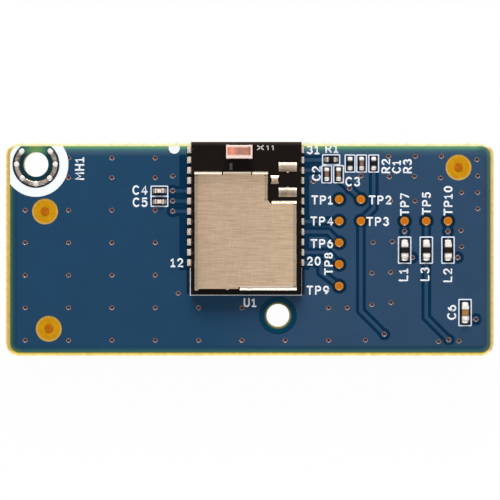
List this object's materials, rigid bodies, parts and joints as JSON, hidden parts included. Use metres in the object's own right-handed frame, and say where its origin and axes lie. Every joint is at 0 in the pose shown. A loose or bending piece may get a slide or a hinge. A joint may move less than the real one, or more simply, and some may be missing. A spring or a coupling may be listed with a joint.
{
  "type": "radio daughter card",
  "caption": "Rectangular circuit card with a shielded castellated radio module, chip antenna, chip parts, test pads, mounting and locating holes, and a pin header underneath for its host.",
  "frame": {"origin": "axis of the mounting hole at the underside of the laminate", "axes": "+X along the card, +Y towards the antenna edge, +Z out of the component side"},
  "size_m": [0.0573, 0.0251, 0.009],
  "materials": {
    "laminate": "bare glass-epoxy, matt",
    "copper": "bright copper foil",
    "solder_mask": "semi-gloss blue lacquer",
    "via_plating": "dull plated copper",
    "via_resin": "dark resin plug",
    "gold_plating": "thin gold over nickel",
    "tin": "hot-air levelled tin",
    "solder": "bright reflowed solder",
    "white_ink": "screen-printed ink",
    "black_board": "black solder mask, satin",
    "nickel_silver": "brushed sheet",
    "antenna_ceramic": "glazed ceramic with a red print",
    "antenna_plating": "pale plated ends",
    "chip_resin": "matt moulding resin",
    "crystal_lid": "satin metal lid",
    "pale_ceramic": "matt ceramic",
    "brown_ceramic": "matt ceramic",
    "ochre_ceramic": "matt ceramic",
    "resistor_glaze": "black glaze",
    "ferrite": "matt ferrite",
    "header_plastic": "moulded plastic"
  },
  "bodies": {
    "root": {"card_laminate": "laminate", "foil_top": "copper", "foil_bottom": "copper", "mask_top": "solder_mask", "mask_bottom": "solder_mask", "plated_vias": "via_plating", "via_plugs": "via_resin", "test_pads": "gold_plating", "fiducial_dots": "gold_plating", "mounting_lands": "tin", "mounting_solder": "solder", "module_lands": "tin", "chip_lands": "tin", "header_lands": "tin", "legend_ink": "white_ink", "module_board": "black_board", "module_castellations": "gold_plating", "module_solder": "solder", "shield_can": "nickel_silver", "antenna_body": "antenna_ceramic", "antenna_ends": "antenna_plating", "antenna_feed": "tin", "coax_lands": "solder", "radio_chip": "chip_resin", "crystal": "crystal_lid", "inner_capacitors": "brown_ceramic", "chip_solder": "solder", "header_body": "header_plastic", "header_pins": "gold_plating", "header_solder": "solder", "capacitor_1": "pale_ceramic", "capacitor_1_ends": "tin", "capacitor_2": "pale_ceramic", "capacitor_2_ends": "tin", "capacitor_3": "brown_ceramic", "capacitor_3_ends": "tin", "capacitor_4": "brown_ceramic", "capacitor_4_ends": "tin", "capacitor_5": "brown_ceramic", "capacitor_5_ends": "tin", "capacitor_6": "ochre_ceramic", "capacitor_6_ends": "tin", "resistor_1": "resistor_glaze", "resistor_1_ends": "tin", "resistor_2": "resistor_glaze", "resistor_2_ends": "tin", "resistor_3": "resistor_glaze", "resistor_3_ends": "tin", "bead_1": "ferrite", "bead_1_ends": "tin", "bead_2": "ferrite", "bead_2_ends": "tin", "bead_3": "ferrite", "bead_3_ends": "tin"}
  },
  "joints": []
}
